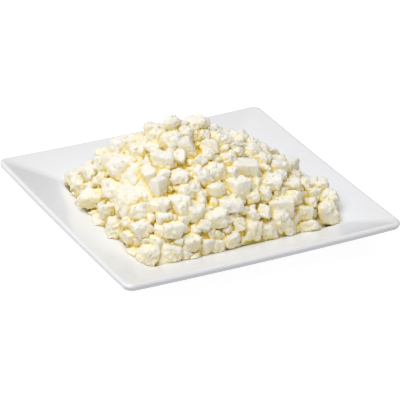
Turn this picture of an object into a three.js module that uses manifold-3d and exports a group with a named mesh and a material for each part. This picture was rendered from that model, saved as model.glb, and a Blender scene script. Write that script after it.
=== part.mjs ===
// A square porcelain dish with rounded corners, heaped with crumbled feta.
//
// Millimetres, +Z up. The origin is under the middle of the dish, on the plane of its foot ring,
// and the dish's sides run along X and Y. There are two pieces: the dish, and the heap, which is
// a plain core that fills the well with the crumbs that show fused onto it.
import * as THREE from 'three';
import { mergeVertices } from 'three/addons/utils/BufferGeometryUtils.js';
import Module from 'manifold-3d';

// ---- Dish: driving dimensions ----
const DISH_SIDE = 216;
const LIP_HEIGHT = 28;
const LIP_THICKNESS = 5.3;
const LIP_UNDERCUT = 0.2;
const CORNER_LIFT = 1.2;
const SHOULDER_HALF = 75.5;
const RIM_DROP = 8.3;
const FLOOR_HALF = 66;
const FLOOR_HEIGHT = 5.5;
const UNDERSIDE_DROP = 5.1;
const FOOT_HALF = 61;
const FOOT_WIDTH = 7;
const FOOT_HEIGHT = 1.6;

// Corner radii in plan, at the floor, the shoulder and the lip.
const FLOOR_CORNER = 9;
const SHOULDER_CORNER = 6;
const LIP_CORNER = 6;
// Radii of the dish's section.
const ROUND = {
  floor: 8, shoulder: 3, lipTop: 2, lipUnder: 2, rimUnder: 6, footTop: 2, foot: 0.8, recess: 0.5,
};
// How far the rounded lip would run on if its upper edge were sharp.
const LIP_OVERRUN = { out: 1.1, up: 0.6 };

// ---- Heap: driving dimensions ----
const FIT_GAP = 0.3;
const HEAP_BASE = LIP_HEIGHT - 10;
const HEAP_RISE = 71;
const HEAP_SQUARENESS = 4;
const PEAK = { x: -21, y: -6 };
// Each side of the heap: how far out its foot is, and how slack its slope is (lower is fuller).
const RIGHT = { edge: 81, slack: 0.6 };
const LEFT = { edge: 76, slack: 0.53 };
const BACK = { edge: 76, slack: 0.9 };
const FRONT = { edge: 76, slack: 0.52 };
// How far the core lies below the heap's smooth form, and how far out its rings of points are.
const CORE_DEPTH = 5;
const CORE_LEVELS = [0.16, 0.36, 0.56, 0.73, 0.87, 0.97];
// How far a placed chunk and a scattered crumb are tipped at most, in radians.
const CHUNK_TIP = 0.15;
const CRUMB_TIP = 0.5;
// A scattered crumb's half length, depth and height, as shares of its radius, and how many are boxy.
const CRUMB_SHARES = { length: [0.95, 1.3], depth: [0.8, 1.05], height: [0.75, 1] };
const BOXY = { share: 0.4, boxiness: 8, otherwise: 4 };
// Least distance between two crumbs, as a share of their radii together.
const CRUMB_SPACING = 0.9;
// A crumb's middle lies this share of its radius below the heap's form, and no less than its radius
// short of CRUMB_GRIP, so that small ones still reach the core.
const CRUMB_SINK = 0.45;
const CRUMB_GRIP = 7.5;
// Crumbs over this radius, and cut cubes, get twice as many faces. Few faces cut inside a rounded form, so each
// crumb is swollen a little to keep its bulk.
const BIG_CRUMB = 7.5;
const SWELLING = { big: 1.03, small: 1.1 };
// A crumb's six sides are tipped by up to this slope, and three cuts cross its corners at this share
// of the way out.
const SIDE_TIP = 0.16;
const CUTS = 3;
const CUT_REACH = { least: 0.85, most: 1.15 };
// A cut cube keeps its corners. One of them is a wedge: the normal of the side that leans in towards
// its top, and how far that side is from the chunk's middle.
const CUT_CUBE = 9;
const WEDGE = { chunk: 0, normal: [1, 0, 0.45], distance: 3.8 };

// Big chunks where they lie: centre, then length, depth and height, in mm, then the turn about
// +Z in degrees, and how boxy the chunk is, from a round lump (3) to a cut cube (9).
const CHUNKS = [
  [-17, -22, 74, 16, 13, 19, -24, 9],
  [5, -53, 52, 14, 14, 17, 10, 9],
  [18, -41, 57, 17, 11, 19, -28, 9],
  [-50, -39, 57, 9, 9, 20, 14, 9],
  [-64, -25, 45, 26, 20, 20, -12, 5],
  [-57, 9, 54, 21, 18, 19, 0, 3],
  [-40, 29, 60, 31, 16, 14, 0, 6],
  [-38, -22, 69, 15, 13, 16, -28, 5],
  [-34, -40, 65, 14, 12, 9, -28, 4],
  [-20, -43, 62, 15, 13, 15, 0, 3],
  [-12, -52, 55, 14, 13, 12, 0, 4],
  [-6, -60, 46, 21, 15, 11, -20, 5],
  [34, -65, 38, 18, 13, 12, -28, 9],
  [62, -9, 35, 27, 18, 17, -40, 7],
  [49, -51, 44, 15, 12, 10, -28, 7],
  [70, -38, 33, 14, 12, 13, -20, 7],
  [70, -67, 26, 15, 14, 14, -10, 6],
  [76, -57, 31, 13, 12, 11, 0, 4],
  [-41, -56, 51, 12, 12, 15, 10, 8],
  [-54, -49, 51, 16, 12, 8, -28, 7],
  [-51, -65, 39, 16, 13, 11, -20, 7],
  [-69, -52, 37, 14, 13, 12, -10, 4],
  [-57, -59, 36, 15, 13, 13, 15, 6],
  [-71, -65, 23, 15, 15, 14, 0, 4],
  [-57, -69, 23, 18, 14, 16, -20, 7],
  [-41, -71, 30, 14, 12, 12, 5, 4],
  [-30, -73, 24, 10, 10, 13, 0, 7],
  [-22, -73, 23, 10, 10, 11, 0, 5],
  [-10, -73, 24, 13, 11, 13, 0, 5],
  [8, -71, 28, 15, 13, 16, 0, 4],
  [20, -71, 25, 14, 13, 13, -20, 5],
  [30, -69, 31, 14, 13, 15, 10, 4],
  [36, -72, 25, 12, 11, 14, 0, 4],
  [51, -67, 30, 14, 12, 10, -28, 7],
  [52, -71, 21, 19, 13, 10, -28, 6],
  [-73, -24, 26, 18, 14, 16, 0, 4],
  [-71, 17, 30, 26, 13, 12, -28, 5],
  [-67, 52, 23, 15, 14, 14, 0, 4],
  [-22, -4, 88, 12, 10, 10, 0, 4],
  [-2, 0, 80, 18, 15, 13, 0, 4],
  [11, -13, 70, 19, 15, 15, 0, 3],
  [-8, -41, 64, 15, 13, 12, 0, 5],
  [32, -50, 50, 20, 14, 10, -28, 5],
  [49, 22, 46, 20, 16, 13, 0, 4],
  [-31, -48, 58, 18, 13, 10, 0, 5],
  [7, -34, 66, 13, 12, 12, 0, 3],
  [-65, 37, 39, 12, 11, 13, 0, 4],
  [-52, 46, 46, 11, 11, 13, 0, 4],
  [-17, -64, 40, 20, 15, 13, -10, 5],
  [-32, -61, 46, 14, 12, 11, 0, 5],
  [-72, -6, 31, 15, 13, 14, 0, 4],
  [-26, -14, 80, 15, 13, 12, 20, 5],
  [77, -47, 37, 11, 10, 10, 0, 4],
  [23, -59, 46, 11, 10, 13, 0, 3],
  [79, -45, 26, 13, 12, 12, 0, 4],
  [-22, 24, 71, 15, 12, 10, -28, 6],
];

// Hollows between the chunks, where no smaller crumb lies: middle, then radius, in mm.
const HOLLOWS = [
  [-48, -7, 66, 5],
  [-57, -31, 56, 4],
  [-44, -47, 57, 5],
  [-30, -34, 70, 5],
  [-8, -17, 79, 3.5],
  [-6, -64, 44, 3.5],
];

// Crumbs that fill the rest, largest first: how many places are tried, and their radius in mm. They
// are numbered from FIRST_SCATTERED on.
const FIRST_SCATTERED = 1000;
const CRUMB_SIZES = [
  { tries: 420, smallest: 6.4, largest: 9.2 },
  { tries: 2500, smallest: 4.8, largest: 6.2 },
];

// ---- Small helpers ----
const radians = (degrees) => (degrees * Math.PI) / 180;
const mix = (from, to, amount) => from + (to - from) * amount;

// A repeatable draw from 0 to 1 for one property (slot) of one crumb (index).
function draw(index, slot) {
  let h = Math.imul(index + 1, 0x9e3779b1) ^ Math.imul(slot + 1, 0x85ebca77);
  h = Math.imul(h ^ (h >>> 15), 0x2c1b3c6d);
  h = Math.imul(h ^ (h >>> 12), 0x297a2d39);
  return ((h ^ (h >>> 15)) >>> 0) / 4294967296;
}

const spread = (index, slot, size) => size * (2 * draw(index, slot) - 1);

// ---- Rounded-square lofts ----
const SIDE_STEPS = 4;
const ARC_STEPS = 4;

// One level: a rounded square walked anticlockwise, with its corners lifted a little.
function roundedSquare({ half, corner, z, lift }) {
  const points = [];
  const middle = half - corner;
  for (let side = 0; side < 4; side += 1) {
    const turned = new THREE.Matrix4().makeRotationZ((side * Math.PI) / 2);
    const place = (x, y) => {
      const raised = z + lift * ((x * y) / (half * half)) ** 2;
      points.push(new THREE.Vector3(x, y, raised).applyMatrix4(turned));
    };
    for (let step = 1; step < SIDE_STEPS; step += 1) {
      place(half, middle * ((2 * step) / SIDE_STEPS - 1));
    }
    for (let step = 0; step <= ARC_STEPS; step += 1) {
      const angle = (Math.PI / 2) * (step / ARC_STEPS);
      place(middle + corner * Math.cos(angle), middle + corner * Math.sin(angle));
    }
  }
  return points;
}

// Walks a profile of corners {half, z, round}, replacing each corner by an arc of radius round.
function roundedProfile(corners, degreesPerStep = 30) {
  const path = [];
  corners.forEach((corner, index) => {
    const here = new THREE.Vector2(corner.half, corner.z);
    if (!corner.round) {
      path.push(here);
      return;
    }
    const before = new THREE.Vector2(corners[index - 1].half, corners[index - 1].z).sub(here).normalize();
    const after = new THREE.Vector2(corners[index + 1].half, corners[index + 1].z).sub(here).normalize();
    const opening = Math.acos(before.dot(after));
    const reach = corner.round / Math.tan(opening / 2);
    const centre = before.clone().add(after).normalize();
    centre.multiplyScalar(corner.round / Math.sin(opening / 2)).add(here);
    const start = before.clone().multiplyScalar(reach).add(here).sub(centre);
    const end = after.clone().multiplyScalar(reach).add(here).sub(centre);
    const sweep = Math.PI - opening;
    const turn = Math.sign(start.cross(end));
    const steps = Math.max(1, Math.round(sweep / radians(degreesPerStep)));
    for (let step = 0; step <= steps; step += 1) {
      const arm = start.clone().rotateAround(new THREE.Vector2(), (turn * sweep * step) / steps);
      path.push(arm.add(centre));
    }
  });
  return path;
}

// The plan radius of the corners, at a given distance from the middle.
function cornerAt(half) {
  if (half < SHOULDER_HALF) {
    const outward = Math.max(0, (half - FLOOR_HALF) / (SHOULDER_HALF - FLOOR_HALF));
    return mix(FLOOR_CORNER, SHOULDER_CORNER, outward);
  }
  return mix(SHOULDER_CORNER, LIP_CORNER, (half - SHOULDER_HALF) / (DISH_SIDE / 2 - SHOULDER_HALF));
}

// A closed solid from a stack of rings, from the one round its top's middle to its underside's.
function ringStack(rings, topMiddle, underMiddle) {
  const ringSize = rings[0].length;
  const points = [...rings.flat(), topMiddle, underMiddle];
  const lastRing = (rings.length - 1) * ringSize;
  const top = lastRing + ringSize;
  const faces = [];
  for (let i = 0; i < ringSize; i += 1) {
    const next = (i + 1) % ringSize;
    for (let inner = 0; inner < lastRing; inner += ringSize) {
      const outer = inner + ringSize;
      faces.push(inner + i, outer + i, outer + next, inner + i, outer + next, inner + next);
    }
    faces.push(top, i, next, top + 1, lastRing + next, lastRing + i);
  }
  const geometry = new THREE.BufferGeometry().setFromPoints(points);
  geometry.setIndex(faces);
  return geometry;
}

// A rounded-square solid whose profile runs from its top, outwards, then back underneath.
function loft(profile) {
  const rings = profile.map(({ x: half, y: z }) => {
    const outward = Math.max(0, (half - SHOULDER_HALF) / (DISH_SIDE / 2 - SHOULDER_HALF));
    return roundedSquare({ half, corner: cornerAt(half), z, lift: CORNER_LIFT * outward });
  });
  const topMiddle = new THREE.Vector3(0, 0, profile[0].y);
  const underMiddle = new THREE.Vector3(0, 0, profile[profile.length - 1].y);
  return ringStack(rings, topMiddle, underMiddle);
}

// ---- The dish ----
// Upper surface, from the floor out to the lip, raised by a gap for what must clear it.
function dishTop(gap = 0) {
  const shoulder = LIP_HEIGHT - RIM_DROP;
  const lip = LIP_HEIGHT + LIP_OVERRUN.up;
  return [
    { half: FLOOR_HALF / 2, z: FLOOR_HEIGHT + gap },
    { half: FLOOR_HALF - gap, z: FLOOR_HEIGHT + gap, round: ROUND.floor - gap },
    { half: SHOULDER_HALF - gap, z: shoulder + gap, round: ROUND.shoulder + gap },
    { half: DISH_SIDE / 2 + LIP_OVERRUN.out, z: lip + gap, round: gap ? 0 : ROUND.lipTop },
  ];
}

function dishUnderside() {
  const rimUnder = LIP_HEIGHT - RIM_DROP - UNDERSIDE_DROP;
  const footInside = FOOT_HALF - FOOT_WIDTH;
  return [
    { half: DISH_SIDE / 2 - LIP_UNDERCUT, z: LIP_HEIGHT - LIP_THICKNESS, round: ROUND.lipUnder },
    { half: SHOULDER_HALF + 1.5, z: rimUnder, round: ROUND.rimUnder },
    { half: FOOT_HALF + 4, z: FOOT_HEIGHT + 1, round: ROUND.footTop },
    { half: FOOT_HALF, z: 0, round: ROUND.foot },
    { half: footInside, z: 0, round: ROUND.foot },
    { half: footInside - 1, z: FOOT_HEIGHT, round: ROUND.recess },
    { half: FLOOR_HALF / 2, z: FOOT_HEIGHT },
  ];
}

const dishGeometry = () => loft(roundedProfile([...dishTop(), ...dishUnderside()]));

// All the room above the dish, down to the fitting gap over its upper surface.
function roomGeometry() {
  const ceiling = 140;
  const surface = roundedProfile(dishTop(FIT_GAP)).reverse();
  const lid = [new THREE.Vector2(FLOOR_HALF / 2, ceiling), new THREE.Vector2(DISH_SIDE / 2, ceiling)];
  return loft([...lid, ...surface]);
}

// ---- The heap's smooth form ----
// How far out a point lies between the heap's peak (0) and its foot (1), and the slack there.
function heapReach(x, y) {
  const sideX = x > PEAK.x ? RIGHT : LEFT;
  const sideY = y > PEAK.y ? BACK : FRONT;
  const u = Math.abs(x - PEAK.x) / Math.abs((x > PEAK.x ? RIGHT.edge : -LEFT.edge) - PEAK.x);
  const v = Math.abs(y - PEAK.y) / Math.abs((y > PEAK.y ? BACK.edge : -FRONT.edge) - PEAK.y);
  const power = 2 + HEAP_SQUARENESS * Math.max(u, v) ** 2;
  const reach = (u ** power + v ** power) ** (1 / power);
  const slack = mix(sideY.slack, sideX.slack, (u * u) / (u * u + v * v + 1e-9));
  return { reach, slack };
}

function heapHeight(x, y) {
  const { reach, slack } = heapReach(x, y);
  return HEAP_BASE + HEAP_RISE * Math.max(0, 1 - reach) ** slack;
}

const heapMiddle = new THREE.Vector3(PEAK.x, PEAK.y, HEAP_BASE);

// How far a ray from the middle of the heap's base runs before it leaves the heap.
function heapSurface(direction) {
  let inside = 0;
  let outside = 2 * RIGHT.edge;
  for (let halving = 0; halving < 20; halving += 1) {
    const distance = (inside + outside) / 2;
    const { x, y, z } = heapMiddle.clone().addScaledVector(direction, distance);
    if (heapReach(x, y).reach < 1 && z < heapHeight(x, y)) inside = distance;
    else outside = distance;
  }
  return inside;
}

function heapDirection(azimuth, sineOfHeight) {
  const flat = Math.sqrt(1 - sineOfHeight ** 2);
  return new THREE.Vector3(flat * Math.cos(azimuth), flat * Math.sin(azimuth), sineOfHeight);
}

// The core: the heap's form sunk by CORE_DEPTH, carried straight down through the well's floor.
function coreGeometry() {
  const outline = roundedSquare({ half: 1, corner: 0.1, z: 0, lift: 0 }).map(({ x, y }) => {
    const footX = x > 0 ? RIGHT.edge - PEAK.x : LEFT.edge + PEAK.x;
    const footY = y > 0 ? BACK.edge - PEAK.y : FRONT.edge + PEAK.y;
    const foot = new THREE.Vector3(x * footX, y * footY, 0);
    return foot.divideScalar(heapReach(foot.x + PEAK.x, foot.y + PEAK.y).reach);
  });
  const rings = CORE_LEVELS.map((level) => outline.map((foot) => {
    const point = foot.clone().multiplyScalar(level).add(heapMiddle);
    return point.setZ(heapHeight(point.x, point.y) - CORE_DEPTH);
  }));
  rings.push(rings[rings.length - 1].map((point) => point.clone().setZ(0)));
  const summit = heapMiddle.clone().setZ(HEAP_BASE + HEAP_RISE - CORE_DEPTH);
  return ringStack(rings, summit, heapMiddle.clone().setZ(0));
}

// ---- Crumbs ----
// The planes that bound a crumb: six sides of a box with its faces tipped a little, and, unless it
// is a cut cube, random cuts across its corners. Each is a unit normal and a distance from the middle.
function crumbPlanes({ index, half, boxiness }) {
  const planes = [];
  ['x', 'y', 'z'].forEach((axis, number) => {
    [1, -1].forEach((sign, side) => {
      const slot = 20 + 4 * number + 2 * side;
      const tips = [spread(index, slot, SIDE_TIP), spread(index, slot + 1, SIDE_TIP)];
      tips.splice(number, 0, sign);
      const normal = new THREE.Vector3(...tips);
      planes.push({ normal: normal.normalize(), distance: half[axis] });
    });
  });
  if (index === WEDGE.chunk) {
    planes.push({ normal: new THREE.Vector3(...WEDGE.normal).normalize(), distance: WEDGE.distance });
  }
  if (boxiness >= CUT_CUBE) return planes;
  for (let cut = 0; cut < CUTS; cut += 1) {
    const slot = 40 + 4 * cut;
    const normal = heapDirection(2 * Math.PI * draw(index, slot), 2 * draw(index, slot + 1) - 1);
    const support = normal.clone().multiply(half).length();
    const share = mix(CUT_REACH.least, CUT_REACH.most, draw(index, slot + 2));
    planes.push({ normal, distance: support * share });
  }
  return planes;
}

// How far the crumb reaches along a unit direction: a soft minimum over its planes.
function crumbReach(direction, planes, boxiness) {
  let total = 0;
  planes.forEach(({ normal, distance }) => {
    total += Math.max(0, direction.dot(normal) / distance) ** boxiness;
  });
  return total ** (-1 / boxiness);
}

function crumbGeometry(crumb) {
  const isBig = crumb.radius > BIG_CRUMB || crumb.boxiness >= CUT_CUBE;
  const geometry = isBig ? new THREE.BoxGeometry(1, 1, 1, 2, 2, 2) : new THREE.IcosahedronGeometry(1);
  const swelling = isBig ? SWELLING.big : SWELLING.small;
  const planes = crumbPlanes(crumb);
  const position = geometry.attributes.position;
  const point = new THREE.Vector3();
  for (let i = 0; i < position.count; i += 1) {
    point.fromBufferAttribute(position, i).multiply(crumb.half).normalize();
    point.multiplyScalar(swelling * crumbReach(point, planes, crumb.boxiness));
    position.setXYZ(i, point.x, point.y, point.z);
  }
  geometry.applyMatrix4(new THREE.Matrix4().makeRotationFromEuler(crumb.turn));
  geometry.translate(crumb.centre.x, crumb.centre.y, crumb.centre.z);
  return geometry;
}

function placedChunk([x, y, z, length, depth, height, turn, boxiness], index) {
  return {
    index,
    centre: new THREE.Vector3(x, y, z),
    half: new THREE.Vector3(length / 2, depth / 2, height / 2),
    radius: Math.cbrt(length * depth * height) / 2,
    turn: new THREE.Euler(spread(index, 0, CHUNK_TIP), spread(index, 1, CHUNK_TIP), radians(turn)),
    boxiness,
  };
}

// A crumb in a drawn direction from the heap's middle, sunk so that the tops of all sizes show.
function scatteredCrumb(index, size) {
  const direction = heapDirection(2 * Math.PI * draw(index, 0), draw(index, 1));
  const radius = mix(size.smallest, size.largest, draw(index, 2) ** 2);
  const sunk = Math.max(CRUMB_SINK * radius, CRUMB_GRIP - radius) + spread(index, 3, 0.15 * radius);
  return {
    index,
    centre: direction.multiplyScalar(heapSurface(direction) - sunk).add(heapMiddle),
    half: new THREE.Vector3(
      radius * mix(...CRUMB_SHARES.length, draw(index, 4)),
      radius * mix(...CRUMB_SHARES.depth, draw(index, 5)),
      radius * mix(...CRUMB_SHARES.height, draw(index, 6)),
    ),
    radius,
    turn: new THREE.Euler(
      spread(index, 7, CRUMB_TIP),
      spread(index, 8, CRUMB_TIP),
      spread(index, 9, Math.PI),
    ),
    boxiness: draw(index, 10) < BOXY.share ? BOXY.boxiness : BOXY.otherwise,
  };
}

// Every crumb that shows: the placed chunks, then drawn ones wherever there is room.
function heapCrumbs() {
  const crumbs = CHUNKS.map(placedChunk);
  const hollows = HOLLOWS.map(([x, y, z, radius]) => ({ centre: new THREE.Vector3(x, y, z), radius }));
  let index = FIRST_SCATTERED;
  CRUMB_SIZES.forEach((size) => {
    for (let tried = 0; tried < size.tries; tried += 1) {
      const crumb = scatteredCrumb(index, size);
      const isFree = (other) => {
        const apart = CRUMB_SPACING * (crumb.radius + other.radius);
        return crumb.centre.distanceToSquared(other.centre) > apart * apart;
      };
      if (crumbs.every(isFree) && hollows.every(isFree)) crumbs.push(crumb);
      index += 1;
    }
  });
  return crumbs;
}

// ---- Joining with manifold-3d ----
const wasm = await Module();
wasm.setup();

function solidFrom(geometry) {
  const bare = geometry.clone();
  bare.deleteAttribute('normal');
  bare.deleteAttribute('uv');
  const merged = mergeVertices(bare, 1e-5);
  return new wasm.Manifold(new wasm.Mesh({
    numProp: 3,
    vertProperties: new Float32Array(merged.attributes.position.array),
    triVerts: new Uint32Array(merged.index.array),
  }));
}

function geometryFrom(solid) {
  const mesh = solid.getMesh();
  const geometry = new THREE.BufferGeometry();
  geometry.setAttribute('position', new THREE.BufferAttribute(mesh.vertProperties, 3));
  geometry.setIndex(new THREE.BufferAttribute(mesh.triVerts, 1));
  geometry.computeVertexNormals();
  return geometry;
}

// The largest piece of a join: loose scraps go, and sealed hollows are filled.
function largestPiece(solid) {
  return solid.decompose().reduce((best, piece) => (piece.volume() > best.volume() ? piece : best));
}

function heapGeometry() {
  let heap = solidFrom(coreGeometry());
  heapCrumbs().forEach((crumb) => {
    heap = heap.add(solidFrom(crumbGeometry(crumb)));
  });
  return geometryFrom(largestPiece(heap.intersect(solidFrom(roomGeometry()))));
}

// ---- Scene graph ----
const PORCELAIN = { color: 0xf1f1f2, roughness: 0.12, metalness: 0 };
const FETA = { color: 0xf6f0dc, roughness: 0.75, metalness: 0 };

function namedMesh(name, geometry, look) {
  const mesh = new THREE.Mesh(geometry, new THREE.MeshStandardMaterial(look));
  mesh.name = name;
  return mesh;
}

const dishWithFeta = new THREE.Group();
dishWithFeta.add(namedMesh('dish', dishGeometry(), PORCELAIN));
dishWithFeta.add(namedMesh('feta_heap', heapGeometry(), FETA));

export default dishWithFeta;
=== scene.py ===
import math
from dataclasses import dataclass

import bmesh
import bpy
import numpy as np
from mathutils import Matrix, Vector


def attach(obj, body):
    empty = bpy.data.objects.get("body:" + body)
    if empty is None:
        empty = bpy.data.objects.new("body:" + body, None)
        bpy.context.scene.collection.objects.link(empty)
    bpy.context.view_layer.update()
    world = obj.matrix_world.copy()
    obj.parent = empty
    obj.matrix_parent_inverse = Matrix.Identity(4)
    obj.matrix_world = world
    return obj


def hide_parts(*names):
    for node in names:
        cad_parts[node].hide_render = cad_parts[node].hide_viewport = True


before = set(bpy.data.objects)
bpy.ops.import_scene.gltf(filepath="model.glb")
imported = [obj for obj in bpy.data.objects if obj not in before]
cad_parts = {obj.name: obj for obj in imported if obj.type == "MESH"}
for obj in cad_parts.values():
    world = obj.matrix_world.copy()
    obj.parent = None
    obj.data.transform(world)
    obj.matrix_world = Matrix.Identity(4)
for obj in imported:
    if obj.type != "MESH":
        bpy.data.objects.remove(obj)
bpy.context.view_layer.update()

MM = 0.001

# ---- Dish: driving dimensions ----
DISH_SIDE = 216
LIP_HEIGHT = 28
LIP_THICKNESS = 5.3
LIP_UNDERCUT = 0.2
CORNER_LIFT = 1.2
SHOULDER_HALF = 75.5
RIM_DROP = 8.3
FLOOR_HALF = 66
FLOOR_HEIGHT = 5.5
UNDERSIDE_DROP = 5.1
FOOT_HALF = 61
FOOT_WIDTH = 7
FOOT_HEIGHT = 1.6
FLOOR_CORNER = 9
SHOULDER_CORNER = 6
LIP_CORNER = 6
LIP_OVERRUN_OUT = 1.1
LIP_OVERRUN_UP = 0.6
# Where the underside turns: out from the shoulder, out and up from the foot, and in from the foot.
UNDERSIDE_SHIFT = 1.5
FOOT_FLARE_OUT = 4
FOOT_FLARE_UP = 1
FOOT_SLOPE = 1
# How round the corners of the profile are.
FLOOR_ROUND = 8
SHOULDER_ROUND = 3
LIP_ROUND = 2
UNDERSIDE_ROUND = 6
FLARE_ROUND = 2
FOOT_ROUND = 0.8
FOOT_INSIDE_ROUND = 0.5
# Degrees per step of the profile's arcs, in the dish's mesh and where its height is looked up, and
# the corner radius that the look-up takes for the whole rim.
DISH_STEP = 7
PATH_STEP = 6
TYPICAL_CORNER = 7

# ---- Heap: driving dimensions ----
FIT_GAP = 0.3
BASE_BELOW_LIP = 10
HEAP_BASE = LIP_HEIGHT - BASE_BELOW_LIP
HEAP_RISE = 71
HEAP_SQUARENESS = 4
PEAK = (-21, -6)
# Each side of the heap: how far out its foot is, and how slack its slope is (lower is fuller).
RIGHT = (81, 0.6)
LEFT = (76, 0.53)
BACK = (76, 0.9)
FRONT = (76, 0.52)
CORE_REACH = 0.97
CRUMB_SPACING = 0.9
CRUMB_SINK = 0.45
CRUMB_GRIP = 7.5
SINK_SPREAD = 0.15
# How far chunks and scattered crumbs are tipped out of level, in radians.
CHUNK_TIP = 0.15
CRUMB_TIP = 0.5
# A scattered crumb's half length, depth and height, as shares of its radius, and how boxy it is.
CRUMB_SHARES = ((0.95, 1.3), (0.8, 1.05), (0.75, 1))
BOXY_SHARE = 0.4
BOXY = 8
ROUNDISH = 4
SIDE_TIP = 0.16
CUTS = 3
CUT_REACH = (0.85, 1.15)
# A cut cube keeps its corners. One of them is a wedge: the normal of the side that leans in towards
# its top, and how far that side is from the chunk's middle.
CUT_CUBE = 9
WEDGE_CHUNK = 0
WEDGE_NORMAL = (1, 0, 0.45)
WEDGE_DISTANCE = 3.8

# Big chunks where they lie: centre, then length, depth and height, in mm, then the turn about
# +Z in degrees, and how boxy the chunk is, from a round lump (3) to a cut cube (9).
CHUNKS = [
    (-17, -22, 74, 16, 13, 19, -24, 9),
    (5, -53, 52, 14, 14, 17, 10, 9),
    (18, -41, 57, 17, 11, 19, -28, 9),
    (-50, -39, 57, 9, 9, 20, 14, 9),
    (-64, -25, 45, 26, 20, 20, -12, 5),
    (-57, 9, 54, 21, 18, 19, 0, 3),
    (-40, 29, 60, 31, 16, 14, 0, 6),
    (-38, -22, 69, 15, 13, 16, -28, 5),
    (-34, -40, 65, 14, 12, 9, -28, 4),
    (-20, -43, 62, 15, 13, 15, 0, 3),
    (-12, -52, 55, 14, 13, 12, 0, 4),
    (-6, -60, 46, 21, 15, 11, -20, 5),
    (34, -65, 38, 18, 13, 12, -28, 9),
    (62, -9, 35, 27, 18, 17, -40, 7),
    (49, -51, 44, 15, 12, 10, -28, 7),
    (70, -38, 33, 14, 12, 13, -20, 7),
    (70, -67, 26, 15, 14, 14, -10, 6),
    (76, -57, 31, 13, 12, 11, 0, 4),
    (-41, -56, 51, 12, 12, 15, 10, 8),
    (-54, -49, 51, 16, 12, 8, -28, 7),
    (-51, -65, 39, 16, 13, 11, -20, 7),
    (-69, -52, 37, 14, 13, 12, -10, 4),
    (-57, -59, 36, 15, 13, 13, 15, 6),
    (-71, -65, 23, 15, 15, 14, 0, 4),
    (-57, -69, 23, 18, 14, 16, -20, 7),
    (-41, -71, 30, 14, 12, 12, 5, 4),
    (-30, -73, 24, 10, 10, 13, 0, 7),
    (-22, -73, 23, 10, 10, 11, 0, 5),
    (-10, -73, 24, 13, 11, 13, 0, 5),
    (8, -71, 28, 15, 13, 16, 0, 4),
    (20, -71, 25, 14, 13, 13, -20, 5),
    (30, -69, 31, 14, 13, 15, 10, 4),
    (36, -72, 25, 12, 11, 14, 0, 4),
    (51, -67, 30, 14, 12, 10, -28, 7),
    (52, -71, 21, 19, 13, 10, -28, 6),
    (-73, -24, 26, 18, 14, 16, 0, 4),
    (-71, 17, 30, 26, 13, 12, -28, 5),
    (-67, 52, 23, 15, 14, 14, 0, 4),
    (-22, -4, 88, 12, 10, 10, 0, 4),
    (-2, 0, 80, 18, 15, 13, 0, 4),
    (11, -13, 70, 19, 15, 15, 0, 3),
    (-8, -41, 64, 15, 13, 12, 0, 5),
    (32, -50, 50, 20, 14, 10, -28, 5),
    (49, 22, 46, 20, 16, 13, 0, 4),
    (-31, -48, 58, 18, 13, 10, 0, 5),
    (7, -34, 66, 13, 12, 12, 0, 3),
    (-65, 37, 39, 12, 11, 13, 0, 4),
    (-52, 46, 46, 11, 11, 13, 0, 4),
    (-17, -64, 40, 20, 15, 13, -10, 5),
    (-32, -61, 46, 14, 12, 11, 0, 5),
    (-72, -6, 31, 15, 13, 14, 0, 4),
    (-26, -14, 80, 15, 13, 12, 20, 5),
    (77, -47, 37, 11, 10, 10, 0, 4),
    (23, -59, 46, 11, 10, 13, 0, 3),
    (79, -45, 26, 13, 12, 12, 0, 4),
    (-22, 24, 71, 15, 12, 10, -28, 6),
]

# Hollows between the chunks, where no smaller crumb lies: middle, then radius, in mm.
HOLLOWS = [
    (-48, -7, 66, 5),
    (-57, -31, 56, 4),
    (-44, -47, 57, 5),
    (-30, -34, 70, 5),
    (-8, -17, 79, 3.5),
    (-6, -64, 44, 3.5),
]

# Scattered crumbs, largest first: how many places are tried, and the smallest and largest radius.
COARSE = (420, 6.4, 9.2)
MEDIUM = (2500, 4.8, 6.2)
FIRST_SCATTERED = 1000
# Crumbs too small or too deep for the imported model: places tried, smallest and largest radius, how
# far below the heap's form they lie, and their least distance as a share of the radii together.
PACKED = (5000, 3.4, 5.2, 2.4, 6.2, 0.8)
BITS = (12000, 1.9, 3.4, 3.0, 7.4, 0.78)
# The core's depth below the heap's form, the wavelength and height of its bumps, and its mesh.
SCENE_CORE_DEPTH = 8
CORE_BUMPS = ((8, 2.6), (3.6, 1.6))
CORE_LEAST = 0.05
CORE_SEARCH = 200.0
CORE_AROUND = 300
CORE_LEVELS = 90
# Grains that cling to the crumbs: how many, and their smallest and largest radius.
GRAINS = (700, 0.5, 1.2)
# How high on a crumb grains may lie, from its middle (0) to its top (1). In radii: how deep a crumb
# may lie and still carry grains, and how near another crumb's middle a grain counts as covered.
GRAIN_HEIGHTS = (-0.2, 1)
HOST_DEPTH = 1.2
COVERED_WITHIN = 0.9
# Halvings of a ray's length that find where it leaves the heap, and fewer where a rough depth of
# a point below the heap's form will do.
HALVINGS = 20
DEPTH_HALVINGS = 12

# ---- How broken feta looks, in mm ----
TRIANGLE_EDGE = 0.66
SMALL_EDGE = 0.8
# The side of the icosahedron that a ball is made from, in radii, as taken when it is split.
SIDE_PER_RADIUS = 1.2
LUMP_SIZE = (1.4, 3.6)
LUMP_PROUD = (0.08, 0.44)
LUMP_TILT = 0.3
# How many lumps a crumb as small as a usual lump has, how far they stray from even places, how much
# the small ones outnumber the large ones, and how square they are.
LUMP_COUNT = 7
LUMP_STRAY = 0.9
LUMP_SMALLNESS = 1.5
LUMP_SQUARENESS = 4
# Crumbs from these radii on have lumps and billows of full size.
FULL_LUMPS = 6.5
FULL_BILLOWS = 5
# In sizes of a usual lump: where in the relief the crumb's plain form lies, and where creases end.
PLAIN_FORM = 0.3
CREASE_END = 0.5
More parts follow.
